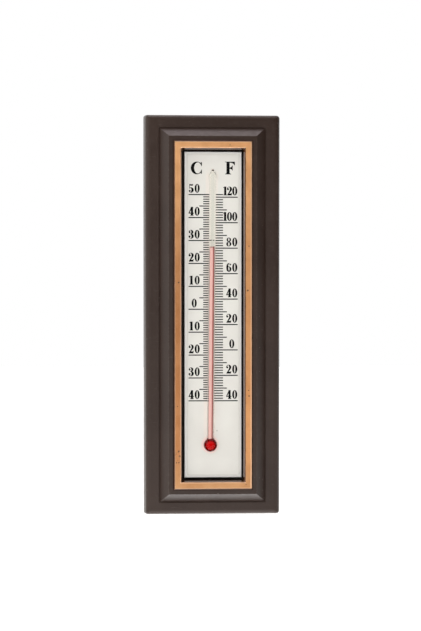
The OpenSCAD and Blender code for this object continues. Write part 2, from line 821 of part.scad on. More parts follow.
// Low gable of cement on the plate, round the tip of the tube and open under the stem
module tip_cement() {
    tip_x = bulb_x + stem_l * sin(tube_lean);
    tip_up = bulb_up + stem_l * cos(tube_lean);
    half_w = tip_cement_w / 2;
    top_w = tip_cement_top_w / 2;
    color([0.78, 0.74, 0.64]) difference() {
        on_plate() translate([tip_x, tip_up, 0]) linear_extrude(tip_cement_t) polygon([
            [-half_w, -tip_cement_foot], [half_w, -tip_cement_foot], [half_w, 0],
            [top_w, tip_l], [-top_w, tip_l], [-half_w, 0]
        ]);
        along_tube() tube_outside();
        along_tube() translate([-stem_r / 2, 0, 0]) cube([stem_r, tube_up + over, stem_l + tip_l / 2]);
    }
}

// Cement that holds the bulb in the hole of the plate from behind
module bulb_cement() {
    flange_r = bulb_hole_r + bulb_cement_flange;
    color([0.8, 0.76, 0.66]) difference() {
        on_plate() translate([bulb_x, bulb_up, -plate_t]) {
            translate([0, 0, -bulb_cement_t]) cylinder(h = bulb_cement_t, r = flange_r, $fn = round_fn);
            cylinder(h = plate_t / 2, r = bulb_hole_r, $fn = round_fn);
        }
        along_tube() sphere(r = bulb_r, $fn = round_fn);
    }
}

front_case();
trim_frame();
back_cover();
cover_screw(0);  // cover_screw_1
cover_screw(1);  // cover_screw_2
cover_screw(2);  // cover_screw_3
cover_screw(3);  // cover_screw_4
plate_pad(1);  // plate_pad_upper
plate_pad(-1);  // plate_pad_lower
scale_plate();
celsius_graduations();
celsius_numerals();
celsius_letter();
fahrenheit_graduations();
fahrenheit_numerals();
fahrenheit_letter();
glass_tube();
spirit_reservoir();
spirit_column();
spirit_meniscus();
calibration_mark();
tip_cement();
bulb_cement();
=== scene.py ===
"""Looks of the wall thermometer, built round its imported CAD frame.

Lengths are in millimetres until a mesh is made. The lamps, the floor and the camera are placed in metres.
"""
import math

import bmesh
import bpy
from mathutils import Matrix, Vector


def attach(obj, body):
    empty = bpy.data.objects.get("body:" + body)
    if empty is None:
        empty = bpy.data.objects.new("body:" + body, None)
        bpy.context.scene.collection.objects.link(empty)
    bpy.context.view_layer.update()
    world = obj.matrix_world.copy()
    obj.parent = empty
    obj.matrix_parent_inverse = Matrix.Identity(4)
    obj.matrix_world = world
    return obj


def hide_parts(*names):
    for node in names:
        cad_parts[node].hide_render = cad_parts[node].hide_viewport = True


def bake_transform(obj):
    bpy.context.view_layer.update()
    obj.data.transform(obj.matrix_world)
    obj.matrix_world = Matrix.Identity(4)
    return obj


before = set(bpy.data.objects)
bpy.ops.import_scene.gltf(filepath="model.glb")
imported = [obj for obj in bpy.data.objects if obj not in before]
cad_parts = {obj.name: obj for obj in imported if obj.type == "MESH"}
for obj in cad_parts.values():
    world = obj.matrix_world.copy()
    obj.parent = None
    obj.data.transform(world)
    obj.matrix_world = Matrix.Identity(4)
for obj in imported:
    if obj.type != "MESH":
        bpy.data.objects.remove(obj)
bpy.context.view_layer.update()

MM = 0.001

# Case, as in the CAD part: insets are measured from the outline and levels from the wall
CASE_W = 61.2
CASE_L = 178.9
CORNER_R = 1.3
INNER_CORNER_R = 0.18
SIDE_LEVEL = 6.9
SIDE_DRAFT = 0.8
BORDER_W = 6.8
BORDER_LEVEL = 8.2
END_SHARE = 0.9
END_LESS = BORDER_W * (1 - END_SHARE)
GROOVE_LEVEL = 7.8
BEVEL_TOP_INSET = 11.15
FLAT_LEVEL = 12.6
SEAT_INSET = 13.35
SEAT_LEVEL = 11.4
LEDGE_LEVEL = 9.5
WINDOW_SEAT_INSET = 16.984
WINDOW_FOOT_INSET = 17.17
TRIM_INSET = 13.4
TRIM_LEVEL = 13.8
CAVITY_INSET = 3.4
CAVITY_LEVEL = 4.9
COVER_LEVEL = 2.2
RIM_W = 1.6
SCREW_INSET = 9.0

# Outer edge of the border: a curve inwards to EDGE_W, rounded off from the side wall to one of its points
EDGE_W = 3.4
EDGE_PULL = (1.9, 8.2)
ROUND_START = (0.6261, 5.4)
ROUND_JOINS = 3
EDGE_WEAR = 0.55

# Foot and inner section of the case: inset, level, fillet, and a measure of wear and painted shade, which
# is below zero where shade is painted into the groove and the crevice under the trim
CASE_FOOT = (0.0, 0.0, 0.15, 0.3)
CASE_SECTION = [
    (BORDER_W, BORDER_LEVEL, 0.12, 0.5),
    (7.0, GROOVE_LEVEL, 0.06, -0.05),
    (7.2, GROOVE_LEVEL, 0.06, -0.05),
    (7.5, 8.1646, 0, 0.0),
    (BEVEL_TOP_INSET, FLAT_LEVEL, 0.28, 0.8),
    (12.6, FLAT_LEVEL, 0, 0.0),
    (12.98, FLAT_LEVEL, 0.05, -0.9),
    (13.3, 12.25, 0.05, -1.0),
    (SEAT_INSET, SEAT_LEVEL, 0, -1.0),
    (WINDOW_SEAT_INSET, SEAT_LEVEL, 0.05, 0.0),
    (WINDOW_FOOT_INSET, LEDGE_LEVEL, 0.12, 0.2),
    (11.189, LEDGE_LEVEL, 0, 0.0),
    (8.7443, 6.5292, 0, 0.0),
    (BORDER_W, 5.9365, 0, 0.0),
    (CAVITY_INSET, CAVITY_LEVEL, 0, 0.0),
    (CAVITY_INSET, COVER_LEVEL, 0.1, 0.0),
    (RIM_W, COVER_LEVEL, 0.1, 0.0),
    (RIM_W, 0.0, 0.15, 0.2)
]

# Half section of a screw boss: radius and level
BOSS_SECTION = [
    (0, 6.45), (1.02, 6.45), (1.02, 2.3), (1.12, COVER_LEVEL),
    (2.4, COVER_LEVEL), (2.5, 2.3), (2.5, 7.45), (0, 7.45)
]

# Section of the trim frame: inset, level and fillet
TRIM_SECTION = [
    (TRIM_INSET, SEAT_LEVEL, 0.05), (TRIM_INSET, 13.5, 0.10), (13.7, TRIM_LEVEL, 0.10),
    (16.30, TRIM_LEVEL, 0.10), (16.62, 13.48, 0.10), (WINDOW_SEAT_INSET, SEAT_LEVEL, 0.05)
]

# Plate and tube, as in the CAD part; heights along the tube are measured from the middle of its bulb
PLATE_MIDDLE = (0.25, 0.15)
PLATE_HALF = (12.68, 72.21)
BULB_PLACE = (-1.0, -10.8, -57.36)
TUBE_LEAN = math.radians(0.5)
BULB_R = 3.0
CAVITY_R = 2.45
STEM_R = 1.5
BORE_R = 0.5
NECK_R = 1.0
NECK_TOP = 3.1225
FUNNEL_TOP = NECK_TOP + NECK_R / 3
HOLLOW_TOP = 2.6
HOLLOW_ANGLE = 78
BORE_WALL_FROM = HOLLOW_TOP - 0.05
STEM_L = 118.7246
TIP_L = 3.2
BORE_END = STEM_L + TIP_L / 4
BORE_STRAIGHT_END = BORE_END - 0.3
BORE_ROUND_MIDDLE = BORE_END - 0.4

# Spirit: it wets the glass, and the thread is drawn wider and flatter than the bore, as the stem shows it
SPIRIT_LEVEL = 87.74
MENISCUS_L = 1.2
SPIRIT_WETS = 0.01
THREAD_FOOT = HOLLOW_TOP - 0.2
THREAD_WIDER = 1.3
THREAD_FLATTER = 0.75
DISH_SHARE = 0.5

# Fineness of the meshes
CORNER_STEPS = 6
FILLET_STEPS = 5
BORDER_STEPS = 12
ROUND_STEPS = 8
LATHE_STEPS = 96
THIN_LATHE_STEPS = 48
BULB_STEPS = 48
NECK_STEPS = 14
TIP_STEPS = 16
HOLLOW_STEPS = 40
BORE_END_STEPS = 6
DISH_STEPS = 6

# The most of an edge that a fillet takes, and how much broad faces count in the normals, out of 100
FILLET_MOST = 0.45
NORMAL_WEIGHT = 100

# Softened edges of the CAD nodes that stay: widths, and the angle in degrees from which an edge is softened
COVER_EDGE = 0.2
SCREW_EDGE = 0.08
PAD_EDGE = 0.12
PLATE_EDGE = 0.10
TIP_CEMENT_EDGE = 0.1
BULB_CEMENT_EDGE = 0.15
EDGE_SEGMENTS = 3
EDGE_ANGLE = 30.0
PLATE_EDGE_ANGLE = 10.0
WELD_REACH = 0.002

# The foiled face: x and z of its middle, outside and inside, and how much shorter its outer ends are
FOIL_OUTER = (0.24, 0.04, 0.14)
FOIL_INNER = (0.42, 0.05)

# Where the foil begins and ends, and its two painted highlights along its outer and inner edges, each over
# a short range of levels or insets
FOIL_LEVELS = (13.16, 13.24)
FOIL_BEGINS = (13.49, 13.55)
FOIL_ENDS = (16.67, 16.73)
OUTER_HIGHLIGHT = (13.95, 14.15)
INNER_HIGHLIGHT = (16.05, 16.25)

# Insets from which the walls of the window are smooth, on the trim and on the case, and how rough they stay
TRIM_WALL = (15.5, 16.0)
CASE_WALL = (16.7, 16.85)
WALL_ROUGHNESS = 0.2

# Where painted light changes the copper: painted shade across it to the left, a painted sheen up to the top
# and painted shade down to the foot
SHADE_ACROSS_RANGE = (-10.0, 10.0)
SHEEN_TOP_RANGE = (5.0, 72.0)
SHADE_FOOT_RANGE = (-77.0, -58.0)

# Chips in the foil: x, z and radius, with their soft edge, and a worn patch: x, z, radius and softness
FOIL_CHIPS = [
    (-15.1, -59.8, 0.34), (-14.7, -61.9, 0.30), (-16.1, -64.8, 0.22), (-15.1, -64.8, 0.22),
    (-15.1, 14.5, 0.30), (15.3, 11.0, 0.34), (7.5, 74.9, 0.12),
    (15.7, -33.0, 0.20), (15.9, -35.5, 0.26), (15.8, 30.5, 0.18), (-15.6, -40.0, 0.16),
    (14.6, -74.6, 0.14)
]
CHIP_SOFTNESS = 0.12
FOIL_PATCH = (-15.2, -62.5, 1.5, 2.5)

# Plate: its painted bevel highlight and the painted shade line beside it, as insets, and the band beside
# the tube, a painted pinkish glow of light through the spirit that also stands for a yellowing
BEVEL_HIGHLIGHT_INSETS = (0.6, 1.1)
SHADE_LINE_BEGINS = (1.15, 1.35)
SHADE_LINE_ENDS = (1.35, 1.6)
BAND_LEFT = (-3.6, -2.4)
BAND_RIGHT = (1.8, 2.9)
BAND_TOP = (118.0, 123.0)
BAND_FOOT = (0.0, 1.0)

# Round marks of the front, and the painted glow of light through the bulb: x, z, radius and softness
PAINTED_BULB_GLOW = (BULB_PLACE[0], BULB_PLACE[2], 3.3, 1.0)
PLATE_MARK = (1.97, -51.2, 0.16, 0.3)
CEMENT_MARKS = [(-0.05, 64.2, 0.15, 0.5), (-1.55, 61.6, 0.1, 0.5), (2.1, 61.4, 0.1, 0.5)]

# Where painted shade darkens the spirit in the bulb towards the plate, and where painted shade begins along
# the thread's right side
BULB_SHADE_RANGE = (-12.75, -12.30)
THREAD_SHADE_BEGINS = (0.15, 0.35)

# Refraction, and the strength of the mirror image where it isn't the usual one
PLASTIC_IOR = 1.5
PLATE_IOR = 1.49
GLASS_IOR = 1.5
SPIRIT_IOR = 1.36
MOULDING_MIRROR = 0.35
INK_MIRROR = 0.08
SPIRIT_MIRROR = 0.02

# Usual range of a noise over which a clouded colour changes, and the soft share of a speck
CLOUD_LOW = 0.35
CLOUD_HIGH = 0.65
SPECK_SOFTNESS = 0.35

# Colours in linear light; a pair holds the two ends of a colour that changes from place to place
MOULDING_BROWNS = ((0.0288, 0.0156, 0.0110), (0.0350, 0.0200, 0.0147))
MOTTLED_BROWN = (0.050, 0.033, 0.027)
WORN_PLASTIC = (0.135, 0.115, 0.10)
# Painted shade in the groove and under the trim, reddened by a painted reflection of the copper
CREVICE_SHADE_RED = (0.036, 0.010, 0.002)
SCUFF_GREY = (0.13, 0.11, 0.10)
DUST_GREY = (0.24, 0.21, 0.19)
COPPERS = ((0.655, 0.325, 0.143), (0.735, 0.387, 0.180))
COPPER_STREAK = (0.53, 0.215, 0.080)
# Painted highlight along the outer and inner edges of the copper
PAINTED_COPPER_HIGHLIGHT = (0.90, 0.60, 0.40)
# Painted light on the copper: painted shade to the left, a painted sheen on the top end and painted shade
# at the foot
PAINTED_SHADE_ACROSS = ((0.77, 0.67, 0.61), (1.00, 0.93, 0.84))
PAINTED_TOP_SHEEN = (1.36, 1.40, 1.40)
PAINTED_FOOT_SHADE = (0.82, 0.84, 0.86)
BARE_BROWNS = ((0.090, 0.034, 0.012), (0.130, 0.052, 0.020))
COVER_BROWNS = ((0.026, 0.019, 0.016), (0.036, 0.027, 0.023))
COVER_SCUFF = (0.10, 0.085, 0.075)
PLATE_WHITES = ((0.765, 0.750, 0.702), (0.795, 0.785, 0.735))
# Painted highlight on the plate's bevel, which lies in the shade of the window's wall
PAINTED_BEVEL_HIGHLIGHT = (0.96, 0.95, 0.92)
# Painted shade for the broken line inside the plate's bevel
PAINTED_SHADE_GREY = (0.60, 0.565, 0.500)
# Painted pinkish glow of light through the spirit, which also stands for a yellowing of the plate under the
# tube
PAINTED_GLOW_AND_YELLOWING = (0.86, 0.77, 0.69)
# Painted pink glow of light through the red bulb onto the plate
PAINTED_GLOW_PINK = (0.96, 0.62, 0.56)
SPECK_BROWN = (0.33, 0.30, 0.24)
MARK_GREY = (0.34, 0.35, 0.29)
INK_BLACKS = ((0.003, 0.003, 0.003), (0.009, 0.009, 0.009))
INK_HOLE = (0.35, 0.34, 0.31)
GLASS_TINTS = ((0.955, 0.970, 0.950), (0.985, 0.990, 0.980))
GLASS_MIRROR_TINT = (0.25, 0.25, 0.25, 1.0)
GLASS_CLEAR_TINT = (0.97, 0.97, 0.96, 1.0)
BORE_TINTS = ((0.955, 0.965, 0.965), (0.975, 0.985, 0.985))
BULB_REDS = ((0.50, 0.0004, 0.0006), (0.62, 0.0008, 0.0012))
# Painted shade in the bulb's spirit, deepest towards the plate
PAINTED_BULB_SHADE = (0.17, 0.0003, 0.0004)
# Painted light and shade on the thread: lit pink on its left, shaded dark red on its right
THREAD_LIT_AND_SHADED_REDS = ((0.88, 0.51, 0.47), (0.46, 0.15, 0.135))
CEMENT_WHITES = ((0.765, 0.735, 0.675), (0.795, 0.770, 0.710))
CEMENT_BROWN = (0.62, 0.48, 0.36)
FOAM_BLACKS = ((0.012, 0.012, 0.013), (0.040, 0.040, 0.043))
ZINC_GREYS = ((0.40, 0.39, 0.36), (0.46, 0.46, 0.44))
FLOOR_WHITES = ((0.80, 0.80, 0.79), (0.84, 0.84, 0.83))
WHITE = (1.0, 1.0, 1.0, 1.0)

# World: colour and least strength, and two ranges of the direction with the strengths added at their ends
WORLD_COLOUR = (1.0, 0.985, 0.965, 1.0)
WORLD_LEAST = 0.115
WORLD_LEFT = (-0.95, 0.0, 1.10, 0.0)
WORLD_ABOVE = (0.0, 0.9, 0.0, 0.60)

# Range of the direction over which reflections begin to show the white background, behind the part
WORLD_BEHIND = (0.55, 0.9)

# Lamps: place, aim, width and watts
KEY_LAMP = ((-0.12, -1.0, 0.1), (0, 0, 0), 0.5, 3.95)
TOP_LAMP = ((0, 0.07, 0.8), (0, 0, 0), 0.28, 1.4)
FLOOR_LAMP = ((0, 0.085, -0.185), (0, 0.085, 0.1), 0.22, 0.48)
TABLE_LAMP = ((0, -0.09, -0.185), (0, -0.03, -0.09), 0.2, 0.06)
TOP_LAMP_COLOUR = (1.0, 0.88, 0.92)
TABLE_LAMP_DEPTH = 0.05

# Floor: its height, half its width, and how much it brightens where it is seen itself
FLOOR_HEIGHT = -0.19
FLOOR_HALF = 3.0
FLOOR_LIFT = 0.6

# Camera: the photograph's view
CAMERA_PLACE = (-0.02886, -0.620, 0.0110)
CAMERA_AIM = (-0.000486, 0.0, -0.00025)
CAMERA_LENS = 78.75
CAMERA_SENSOR = 36.0
CAMERA_NEAR = 0.01


def bend(a, b, c, steps):
    """Points of a curve from a to c that b pulls towards itself."""
    points = []
    for i in range(steps + 1):
        t = i / steps
        shares = ((1 - t) ** 2, 2 * t * (1 - t), t ** 2)
        points.append(tuple(shares[0] * p + shares[1] * q + shares[2] * r for p, q, r in zip(a, b, c)))
    return points


def arc(middle, radius, start, end, steps):
    """Points of an arc, with its angles in degrees."""
    points = []
    for i in range(steps + 1):
        angle = math.radians(start + (end - start) * i / steps)
        points.append((middle[0] + radius * math.cos(angle), middle[1] + radius * math.sin(angle)))
    return points


def hump(t):
    """From zero up to one and back to zero as t goes from zero to one."""
    return 4 * t * (1 - t)


def filleted(corners):
    """Points (inset, level, wear and shade) of a closed section from corners (inset, level, fillet, wear
    and shade).
    """
    points = []
    for i, (x, y, fillet, wear_and_shade) in enumerate(corners):
        here = Vector((x, y))
        if fillet == 0:
            points.append((x, y, wear_and_shade))
            continue
        before = Vector(corners[i - 1][:2]) - here
        after = Vector(corners[(i + 1) % len(corners)][:2]) - here
        reach = fillet / math.tan(before.angle(after) / 2)
        start = here + before.normalized() * min(reach, FILLET_MOST * before.length)
        end = here + after.normalized() * min(reach, FILLET_MOST * after.length)
        for k, point in enumerate(bend(start, here, end, FILLET_STEPS)):
            points.append((point[0], point[1], wear_and_shade * hump(k / FILLET_STEPS)))
    return points


def end_inset(inset):
    """Inset at an end of the case for an inset at its side."""
    return inset * END_SHARE if inset < BORDER_W else inset - END_LESS


def ring(inset, level):
    """One ring of a rectangular frame: the outline of the case moved in, with rounded corners."""
    lean = SIDE_DRAFT * level / SIDE_LEVEL
    radius = max(CORNER_R - max(inset - lean, 0.0), INNER_CORNER_R)
    points = []
    for turn, (sx, sz) in enumerate(((1, 1), (-1, 1), (-1, -1), (1, -1))):
        middle = (sx * (CASE_W / 2 - inset - radius), sz * (CASE_L / 2 - end_inset(inset) - radius))
        for x, z in arc(middle, radius, 90 * turn, 90 * turn + 90, CORNER_STEPS):
            points.append((x, -level, z))
    return points


def frame_mesh(section):
    """Vertices, faces and the wear and painted shade of a closed rectangular frame with that section."""
    rings = [ring(inset, level) for inset, level, wear_and_shade in section]
    per_ring = len(rings[0])
    vertices = [point for points in rings for point in points]
    wear_and_shade = [value for inset, level, value in section for i in range(per_ring)]
    faces = []
    for i in range(len(rings)):
        a = i * per_ring
        b = (i + 1) % len(rings) * per_ring
        for k in range(per_ring):
            n = (k + 1) % per_ring
            faces.append((a + k, a + n, b + n, b + k))
    return vertices, faces, wear_and_shade


def lathe_mesh(section, steps=LATHE_STEPS):
    """Vertices and faces of a closed turned body about Z; the section starts and ends on the axis."""
    vertices = [(0, 0, section[0][1])]
    inner = section[1:-1]
    for radius, height in inner:
        for k in range(steps):
            angle = 2 * math.pi * k / steps
            vertices.append((radius * math.cos(angle), radius * math.sin(angle), height))
    vertices.append((0, 0, section[-1][1]))
    faces = []
    last = len(vertices) - 1
    for k in range(steps):
        n = (k + 1) % steps
        faces.append((0, 1 + n, 1 + k))
        for i in range(len(inner) - 1):
            a = 1 + i * steps
            b = a + steps
            faces.append((a + k, a + n, b + n, b + k))
        top = 1 + (len(inner) - 1) * steps
        faces.append((last, top + k, top + n))
    return vertices, faces


def join_meshes(parts):
    """One list of vertices and one of faces from several pairs."""
    vertices = []
    faces = []
    for part_vertices, part_faces in parts:
        base = len(vertices)
        vertices.extend(part_vertices)
        faces.extend(tuple(base + i for i in face) for face in part_faces)
    return vertices, faces


def add(name, data):
    """A new object in the scene."""
    made = bpy.data.objects.new(name, data)
    bpy.context.scene.collection.objects.link(made)
    return made


def piece(name, vertices, faces, nodes, wear_and_shade=None, place=None):
    """A smooth shaded object in metres that stands for CAD nodes of the root body."""
    mesh = bpy.data.meshes.new(name)
    place = place or Matrix.Identity(4)
    mesh.from_pydata([place @ (Vector(v) * MM) for v in vertices], [], faces)
    if wear_and_shade:
        attribute = mesh.attributes.new("wear_and_shade", "FLOAT", "POINT")
        attribute.data.foreach_set("value", wear_and_shade)
    work = bmesh.new()
    work.from_mesh(mesh)
    bmesh.ops.recalc_face_normals(work, faces=work.faces)
    work.to_mesh(mesh)
    work.free()
    mesh.polygons.foreach_set("use_smooth", [True] * len(mesh.polygons))
    made = add(name, mesh)
    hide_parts(*nodes)
    return made


def weigh_normals(made):
    """Keeps broad faces flat between their fillets."""
    modifier = made.modifiers.new("normals", "WEIGHTED_NORMAL")
    modifier.weight = NORMAL_WEIGHT
    modifier.keep_sharp = False


def opaque(colour):
    """A colour with its opacity, or a link as it is."""
    return colour if isinstance(colour, bpy.types.NodeSocket) else (*colour, 1.0)


class Nodes:
    """A node tree in the making."""

    def __init__(self, tree):
        self.tree = tree
        tree.nodes.clear()

    def node(self, kind, inputs=None, **settings):
        """A node with its settings, and its inputs as values or links."""
        made = self.tree.nodes.new(kind)
        for key, value in settings.items():
            setattr(made, key, value)
        for key, value in (inputs or {}).items():
            if isinstance(value, bpy.types.NodeSocket):
                self.tree.links.new(value, made.inputs[key])
            else:
                made.inputs[key].default_value = value
        return made

    def math(self, operation, a, b=0.0, clamp=False):
        """One operation on one or two values."""
        made = self.node("ShaderNodeMath", {0: a, 1: b}, operation=operation, use_clamp=clamp)
        return made.outputs[0]

    def times(self, a, b):
        """One value times another."""
        return self.math("MULTIPLY", a, b)

    def less(self, a, b):
        """One value less another."""
        return self.math("SUBTRACT", a, b)

    def larger(self, a, b):
        """The larger of two values."""
        return self.math("MAXIMUM", a, b)

    def step(self, value, low, high, to_low=0.0, to_high=1.0):
        """A smooth step, from one value to another as the input goes from low to high."""
        inputs = {"Value": value, "From Min": low, "From Max": high, "To Min": to_low, "To Max": to_high}
        made = self.node("ShaderNodeMapRange", inputs, interpolation_type="SMOOTHSTEP")
        return made.outputs[0]

    def below(self, value, low, high):
        """One below a short range of values, and zero above it."""
        return self.step(value, low, high, 1.0, 0.0)

    def background_rays(self):
        """The outputs of a light path node, and one for the rays that show the background."""
        path = self.node("ShaderNodeLightPath").outputs
        return path, self.larger(path["Is Camera Ray"], path["Is Transmission Ray"])


class Shader(Nodes):
    """A node material in the making, with textures measured in millimetres."""

    def __init__(self, name):
        self.material = bpy.data.materials.new(name)
        self.material.use_nodes = True
        super().__init__(self.material.node_tree)
        inputs = {0: self.node("ShaderNodeTexCoord").outputs["Object"], "Scale": 1 / MM}
        self.place = self.node("ShaderNodeVectorMath", inputs, operation="SCALE").outputs[0]

    def stretched(self, scale, turn=0.0):
        """The place scaled along each axis, and turned about Y in degrees."""
        inputs = {"Vector": self.place, "Rotation": (0, math.radians(turn), 0), "Scale": scale}
        return self.node("ShaderNodeMapping", inputs, vector_type="POINT").outputs[0]

    def noise(self, per_mm, detail=3.0, rough=0.55, place=None):
        """Noise from about 0.25 to 0.75 with that many features in a millimetre."""
        inputs = {"Vector": place or self.place, "Scale": per_mm, "Detail": detail, "Roughness": rough}
        return self.node("ShaderNodeTexNoise", inputs).outputs[0]

    def scratches(self, scale, turn, low, high):
        """Long thin marks in one direction."""
        return self.step(self.noise(1.0, 2, 0.5, self.stretched(scale, turn)), low, high)

    def drawn_streaks(self):
        """Streaks along the tube, as drawing leaves them in glass."""
        return self.noise(1.0, 3, 0.5, self.stretched((2.2, 2.2, 0.05)))

    def cells(self, per_mm):
        """Distance to the middle of a cell, and the cell's own random colour."""
        made = self.node("ShaderNodeTexVoronoi", {"Vector": self.place, "Scale": per_mm})
        return made.outputs["Distance"], made.outputs["Color"]

    def mix(self, share, a, b, kind="MIX"):
        """Two colours mixed."""
        inputs = {0: share, 6: opaque(a), 7: opaque(b)}
        return self.node("ShaderNodeMix", inputs, data_type="RGBA", blend_type=kind).outputs[2]

    def between(self, value, colours, low=CLOUD_LOW, high=CLOUD_HIGH):
        """A colour between two, which changes as the value goes from low to high."""
        return self.mix(self.step(value, low, high), *colours)

    def painted(self, colour, paint, mask, share=1.0):
        """A colour with paint over it, which covers that share of it where the mask is one."""
        return self.mix(self.times(mask, share), colour, paint)

    def specks(self, per_mm, size, share):
        """Small round specks in some of the cells."""
        distance, colour = self.cells(per_mm)
        parts = self.node("ShaderNodeSeparateColor", {"Color": colour}).outputs
        there = self.math("LESS_THAN", parts[0], share)
        near = self.less(self.times(parts[1], size), distance)
        return self.times(self.step(near, 0.0, SPECK_SOFTNESS * size), there)

    def round_spot(self, x, z, radius, softness):
        """A spot about one place of the front."""
        inputs = {0: self.place, 1: (x, 0, z)}
        offset = self.node("ShaderNodeVectorMath", inputs, operation="SUBTRACT").outputs[0]
        inputs = {0: offset, 1: (1, 0, 1)}
        flat = self.node("ShaderNodeVectorMath", inputs, operation="MULTIPLY").outputs[0]
        length = self.node("ShaderNodeVectorMath", {0: flat}, operation="LENGTH").outputs["Value"]
        return self.below(length, radius, radius + softness)

    def axis(self, index):
        """One coordinate of the place."""
        return self.node("ShaderNodeSeparateXYZ", {0: self.place}).outputs[index]

    def to_side(self, x, z, half_w, half_l):
        """Distance to the nearest side of a rectangle of the front with that middle and half size."""
        off_x = self.math("ABSOLUTE", self.less(self.axis(0), x))
        off_z = self.math("ABSOLUTE", self.less(self.axis(2), z))
        return self.math("MINIMUM", self.less(half_w, off_x), self.less(half_l, off_z))

    def inset(self, x=0.0, z=0.0, ends=0.0):
        """Inset from the outline of the case, with its middle moved and its ends cut."""
        return self.to_side(x, z, CASE_W / 2, CASE_L / 2 + END_LESS - ends)

    def by_tube(self):
        """Distance to the right of the tube's axis, and height above the middle of its bulb."""
        along = self.less(self.axis(2), BULB_PLACE[2])
        lean = self.times(along, math.tan(TUBE_LEAN))
        return self.less(self.less(self.axis(0), BULB_PLACE[0]), lean), along

    def wear_and_shade(self):
        """The mesh's own measure: above zero on worn edges, below zero in the groove and crevices where
        shade is painted.
        """
        value = self.node("ShaderNodeAttribute", attribute_name="wear_and_shade").outputs["Fac"]
        return self.larger(value, 0.0), self.larger(self.times(value, -1.0), 0.0)

    def polished(self, rough, mask):
        """A roughness, much lower where the mask is one."""
        return self.times(rough, self.step(mask, 0.0, 1.0, 1.0, WALL_ROUGHNESS))

    def bump(self, height, depth_mm, below=None):
        """A bump of that depth, over another one."""
        inputs = {"Strength": 1.0, "Distance": depth_mm * MM, "Height": height}
        if below is not None:
            inputs["Normal"] = below
        return self.node("ShaderNodeBump", inputs).outputs[0]

    def surface(self, values):
        """A principled surface with these values."""
        return self.node("ShaderNodeBsdfPrincipled", values).outputs[0]

    def show(self, surface):
        """The material, with that surface."""
        self.node("ShaderNodeOutputMaterial", {"Surface": surface})
        return self.material

    def finish(self, values):
        """The material, with a principled surface of these values."""
        return self.show(self.surface(values))


def moulding_material():
    """Dark brown moulded plastic: clouded, finely grained, scuffed, worn along its edges, with painted
    shade in its groove and crevices.
    """
    s = Shader("moulding")
    mottle = s.noise(0.5, 5, 0.65)
    worn_edge, painted_shade = s.wear_and_shade()
    colour = s.between(s.noise(0.05), MOULDING_BROWNS)
    colour = s.painted(colour, MOTTLED_BROWN, s.step(mottle, 0.5, 0.75), 0.35)
    worn = s.times(worn_edge, s.step(s.noise(1.3, 4, 0.7), 0.42, 0.6))
    colour = s.painted(colour, WORN_PLASTIC, worn, 0.65)
    # Painted shade, reddened by a painted reflection of the copper, in the groove and the crevice under the
    # trim
    crevice_shade = s.times(painted_shade, s.step(s.noise(0.8), 0.3, 0.6, 0.55, 0.9))
    colour = s.painted(colour, CREVICE_SHADE_RED, crevice_shade)
    scuffs = s.scratches((0.22, 1.0, 5.0), 28, 0.66, 0.72)
    hairs = s.scratches((0.15, 1.0, 7.0), -52, 0.68, 0.73)
    lines = s.times(s.larger(scuffs, hairs), s.step(s.noise(0.12, 2), 0.5, 0.6))
    colour = s.painted(colour, SCUFF_GREY, lines, 0.35)
    colour = s.painted(colour, DUST_GREY, s.specks(0.55, 0.16, 0.4), 0.4)
    rough = s.step(mottle, 0.35, 0.7, 0.33, 0.43)
    rough = s.math("ADD", rough, s.times(s.larger(worn, lines), 0.15), True)
    wall = s.step(s.inset(), *CASE_WALL)
    textured = s.less(1.0, wall)
    peel = s.bump(s.times(s.noise(0.9, 2), textured), 0.012)
    bumps = s.bump(s.times(s.noise(7), textured), 0.006, peel)
    return s.finish({
        "Base Color": colour, "Roughness": s.polished(rough, wall), "Normal": bumps,
        "IOR": PLASTIC_IOR, "Specular IOR Level": MOULDING_MIRROR
    })


